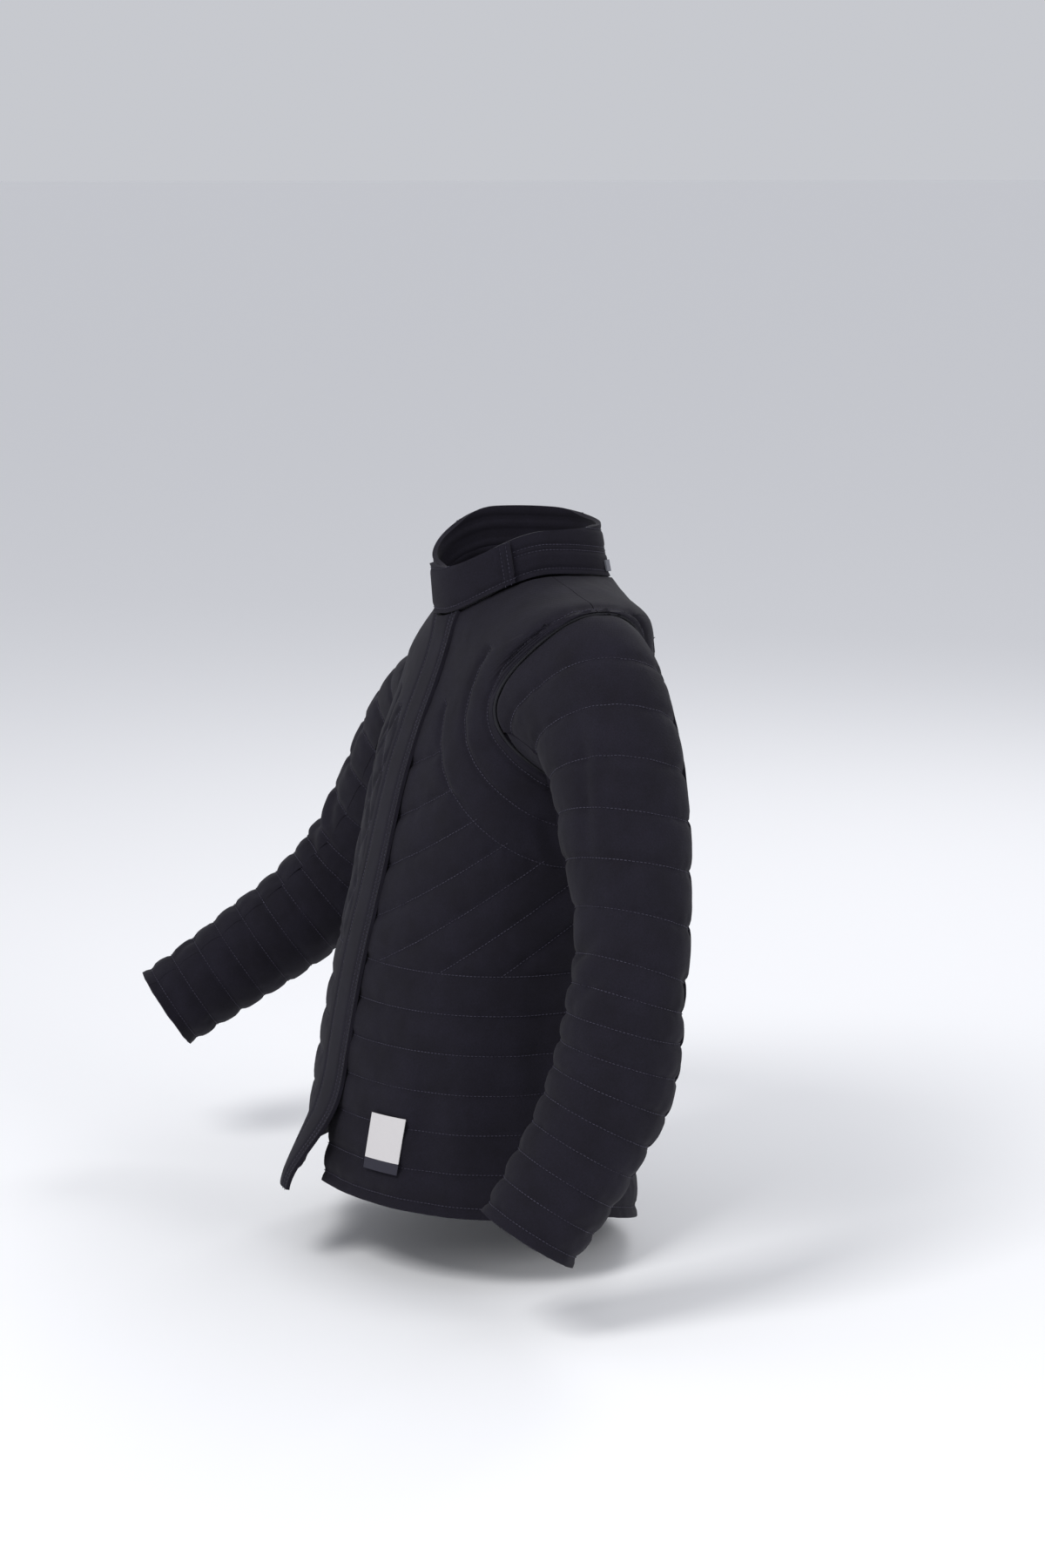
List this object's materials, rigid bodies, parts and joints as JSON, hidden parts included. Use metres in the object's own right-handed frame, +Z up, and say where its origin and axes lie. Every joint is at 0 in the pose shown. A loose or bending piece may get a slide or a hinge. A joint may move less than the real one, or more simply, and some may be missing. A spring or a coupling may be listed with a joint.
{
  "type": "fencing jacket",
  "caption": "Padded dark quilted fencing jacket in its worn shape: stand collar with a tab, covered front, bent sleeves, open neck, hem and cuffs.",
  "frame": {"origin": "centre of the neck base, where the wearer's neck and shoulders hold the jacket up", "axes": "+Z up, the chest faces -Y, +X is the wearer's left"},
  "size_m": [0.8177, 0.3844, 0.6938],
  "materials": {
    "quilted_cotton": "dark navy plain-woven cotton, quilted in channels over padding, matt",
    "cotton_binding": "dark folded cotton binding, matt",
    "woven_label": "bare white woven damask label",
    "tab_cloth": "dark grey woven tape",
    "grey_webbing": "grey woven tape"
  },
  "bodies": {
    "root": {"front_left": "quilted_cotton", "front_right": "quilted_cotton", "back": "quilted_cotton", "placket": "quilted_cotton", "collar": "quilted_cotton", "collar_tab": "quilted_cotton", "sleeve_left_outer": "quilted_cotton", "sleeve_left_under": "quilted_cotton", "sleeve_right_outer": "quilted_cotton", "sleeve_right_under": "quilted_cotton", "armhole_piping_left": "cotton_binding", "armhole_piping_right": "cotton_binding", "label": "woven_label", "label_tab": "tab_cloth", "neck_loop": "grey_webbing"}
  },
  "joints": []
}
